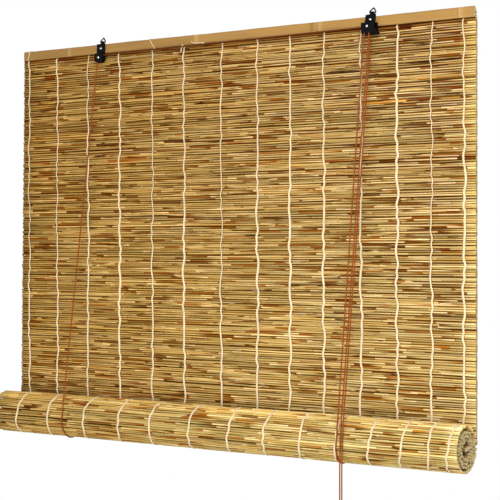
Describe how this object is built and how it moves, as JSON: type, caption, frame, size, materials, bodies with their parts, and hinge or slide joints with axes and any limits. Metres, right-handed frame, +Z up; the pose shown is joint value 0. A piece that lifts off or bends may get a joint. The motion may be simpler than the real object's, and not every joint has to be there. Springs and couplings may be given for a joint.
{
  "type": "reed roll up blind",
  "caption": "Roll-up window blind: a reed mat on a bamboo head rail, half rolled in two cord slings that run over a pulley and a cord lock in black iron fittings.",
  "frame": {"origin": "at the height of the left wall hook, which is the inside top of the left hanging ring, in the middle of the rail width and of the mat thickness", "axes": "+X along the rail to the right as seen from the front, +Y from the front to the window, +Z up"},
  "size_m": [1.009, 0.1063, 0.8865],
  "materials": {
    "reed": "matte",
    "bamboo": "satin",
    "thread": "matte",
    "cord": "matte",
    "black_iron": "satin",
    "bright_steel": "satin"
  },
  "bodies": {
    "headrail": {"reed_panel": "reed", "panel_threads": "thread", "front_slat": "bamboo", "rear_slat": "bamboo", "rail_lashings": "thread", "left_hang_tab": "black_iron", "right_hang_tab": "black_iron", "left_fixing_rivet": "bright_steel", "right_fixing_rivet": "bright_steel", "pulley_case": "black_iron", "pulley_axle": "bright_steel", "lock_case": "black_iron", "lock_case_rivet": "bright_steel", "lock_axle": "black_iron", "pawl_pin": "black_iron", "cross_cord": "cord", "lock_cord": "cord", "left_lift_cord": "cord", "right_lift_cord": "cord", "left_back_cord": "cord", "right_back_cord": "cord", "anchor_staples": "bright_steel", "anchor_knots": "cord", "pull_cord_front": "cord", "pull_cord_rear": "cord"},
    "sling": {"left_sling_cord": "cord", "right_sling_cord": "cord", "pull_coil_front": "cord", "pull_coil_rear": "cord", "coil_tie": "thread", "pull_knots": "cord"},
    "roll": {"reed_roll": "reed", "roll_threads": "thread", "bottom_batten": "bamboo"},
    "left_ring": {"left_hang_ring": "black_iron"},
    "right_ring": {"right_hang_ring": "black_iron"},
    "left_pulley": {"pulley_wheel": "bright_steel"},
    "rear_pulley": {"lock_rear_wheel": "bright_steel"},
    "front_pulley": {"lock_front_wheel": "bright_steel"},
    "pawl": {"lock_pawl": "black_iron"}
  },
  "joints": [
    {"name": "roll_lift", "type": "slide", "parent": "headrail", "child": "sling", "axis": [0, 0, 1], "range_m": [0, 0.6], "deforming": ["reed_panel", "panel_threads", "left_lift_cord", "right_lift_cord", "left_back_cord", "right_back_cord", "pull_cord_front", "pull_cord_rear"]},
    {"name": "roll_turn", "type": "hinge", "parent": "sling", "child": "roll", "pos_m": [0, -0.0376, -0.739], "axis": [1, 0, 0], "range_deg": [-720, 0]},
    {"name": "left_ring_swing", "type": "hinge", "parent": "headrail", "child": "left_ring", "pos_m": [-0.2888, -0.0086, -0.0068], "axis": [1, 0, 0], "range_deg": [-75, 75]},
    {"name": "right_ring_swing", "type": "hinge", "parent": "headrail", "child": "right_ring", "pos_m": [0.3097, -0.0086, -0.0043], "axis": [1, 0, 0], "range_deg": [-75, 75]},
    {"name": "pulley_spin", "type": "hinge", "parent": "headrail", "child": "left_pulley", "pos_m": [-0.2925, -0.01385, -0.037], "axis": [0, 1, 0], "continuous": true},
    {"name": "rear_wheel_spin", "type": "hinge", "parent": "headrail", "child": "rear_pulley", "pos_m": [0.304, -0.01385, -0.0335], "axis": [0, 1, 0], "continuous": true},
    {"name": "front_wheel_spin", "type": "hinge", "parent": "headrail", "child": "front_pulley", "pos_m": [0.304, -0.01955, -0.0335], "axis": [0, 1, 0], "continuous": true},
    {"name": "pawl_release", "type": "hinge", "parent": "headrail", "child": "pawl", "pos_m": [0.3165, -0.0168, -0.032], "axis": [0, -1, 0], "range_deg": [0, 25]}
  ],
  "couplings": [
    {"joint": "roll_turn", "follows": "roll_lift", "rad_per_m": -20.944},
    {"joint": "pulley_spin", "follows": "roll_lift", "rad_per_m": 425.53},
    {"joint": "rear_wheel_spin", "follows": "roll_lift", "rad_per_m": 425.53},
    {"joint": "front_wheel_spin", "follows": "roll_lift", "rad_per_m": 425.53}
  ]
}
